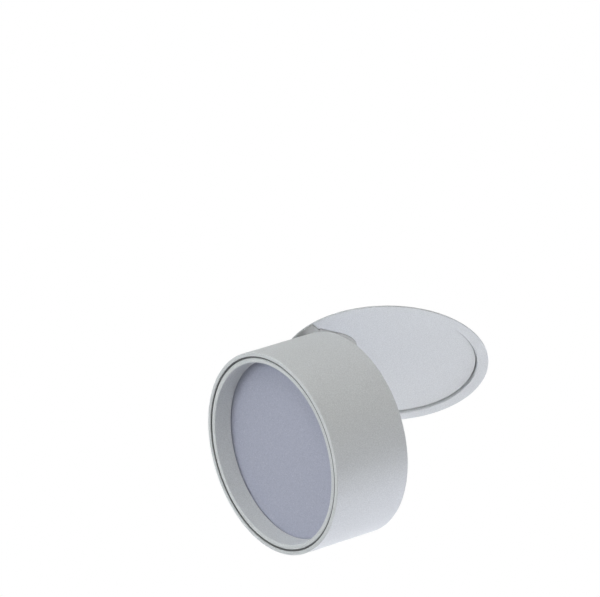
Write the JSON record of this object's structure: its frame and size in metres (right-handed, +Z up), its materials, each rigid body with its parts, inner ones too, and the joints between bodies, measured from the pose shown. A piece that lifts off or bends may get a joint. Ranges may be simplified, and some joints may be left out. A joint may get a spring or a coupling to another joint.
{
  "type": "folding ceiling spotlight",
  "caption": "Recessed LED ceiling spot whose short drum folds out on an edge hinge and turns with a disc set in a thin round trim held by spring clips.",
  "frame": {"origin": "centre of the flange's seat, in the plane of the ceiling's face", "axes": "+Z up into the ceiling, drum hinge at -Y with its pin along X, spring clips at -X and +X"},
  "size_m": [0.1424, 0.128, 0.1262],
  "materials": {
    "white_coat": "fine white powder coat",
    "opal_plastic": "frosted opal",
    "white_plastic": "moulded white",
    "nylon": "natural moulded",
    "zinc_steel": "zinc plated",
    "spring_steel": "drawn spring wire",
    "cast_aluminium": "die cast, bare",
    "board_white": "white solder mask on an aluminium core",
    "phosphor": "phosphor-filled silicone",
    "dark_rubber": "moulded",
    "clear_vinyl": "soft vinyl dip"
  },
  "bodies": {
    "trim": {"trim_ring": "white_coat", "glide_ring": "nylon", "stop_peg": "zinc_steel", "clip_rivets": "cast_aluminium", "clip_bracket_left": "zinc_steel", "clip_bracket_right": "zinc_steel", "clip_pin_left": "zinc_steel", "clip_pin_right": "zinc_steel", "clip_spring_left": "spring_steel", "clip_spring_right": "spring_steel"},
    "clip_left": {"clip_arm_left": "zinc_steel", "clip_sleeve_left": "clear_vinyl"},
    "clip_right": {"clip_arm_right": "zinc_steel", "clip_sleeve_right": "clear_vinyl"},
    "swivel": {"swivel_disc": "white_coat", "retainer_plate": "zinc_steel", "retainer_screws": "zinc_steel", "wave_washer": "spring_steel", "disc_grommet": "dark_rubber", "hinge_bracket": "white_coat", "bracket_screws": "zinc_steel", "hinge_pin": "zinc_steel", "hinge_nut": "zinc_steel", "hinge_washers": "zinc_steel"},
    "drum": {"drum_housing": "white_coat", "hinge_arm": "zinc_steel", "hinge_arm_screws": "zinc_steel", "heat_sink": "cast_aluminium", "heat_sink_screws": "zinc_steel", "led_board": "board_white", "led_packages": "phosphor", "board_screws": "zinc_steel", "reflector_ring": "white_plastic", "diffuser": "opal_plastic", "bezel_ring": "white_coat", "bezel_seal": "dark_rubber", "drum_grommet": "dark_rubber"}
  },
  "joints": [
    {"name": "swivel_turn", "type": "hinge", "parent": "trim", "child": "swivel", "pos_m": [0, 0, 0], "axis": [0, 0, 1], "range_deg": [-170, 170]},
    {"name": "drum_fold", "type": "hinge", "parent": "swivel", "child": "drum", "pos_m": [0, -0.0442, -0.0046], "axis": [-1, 0, 0], "range_deg": [-59.6, 30.4]},
    {"name": "clip_right_fold", "type": "hinge", "parent": "trim", "child": "clip_right", "pos_m": [0.0391, 0, 0.0116], "axis": [0, -1, 0], "range_deg": [0, 100], "stiffness_Nm_per_rad": 0.06, "springref_deg": -34.38, "deforming": ["clip_spring_right"]},
    {"name": "clip_left_fold", "type": "hinge", "parent": "trim", "child": "clip_left", "pos_m": [-0.0391, 0, 0.0116], "axis": [0, 1, 0], "range_deg": [0, 100], "stiffness_Nm_per_rad": 0.06, "springref_deg": -34.38, "deforming": ["clip_spring_left"]}
  ]
}
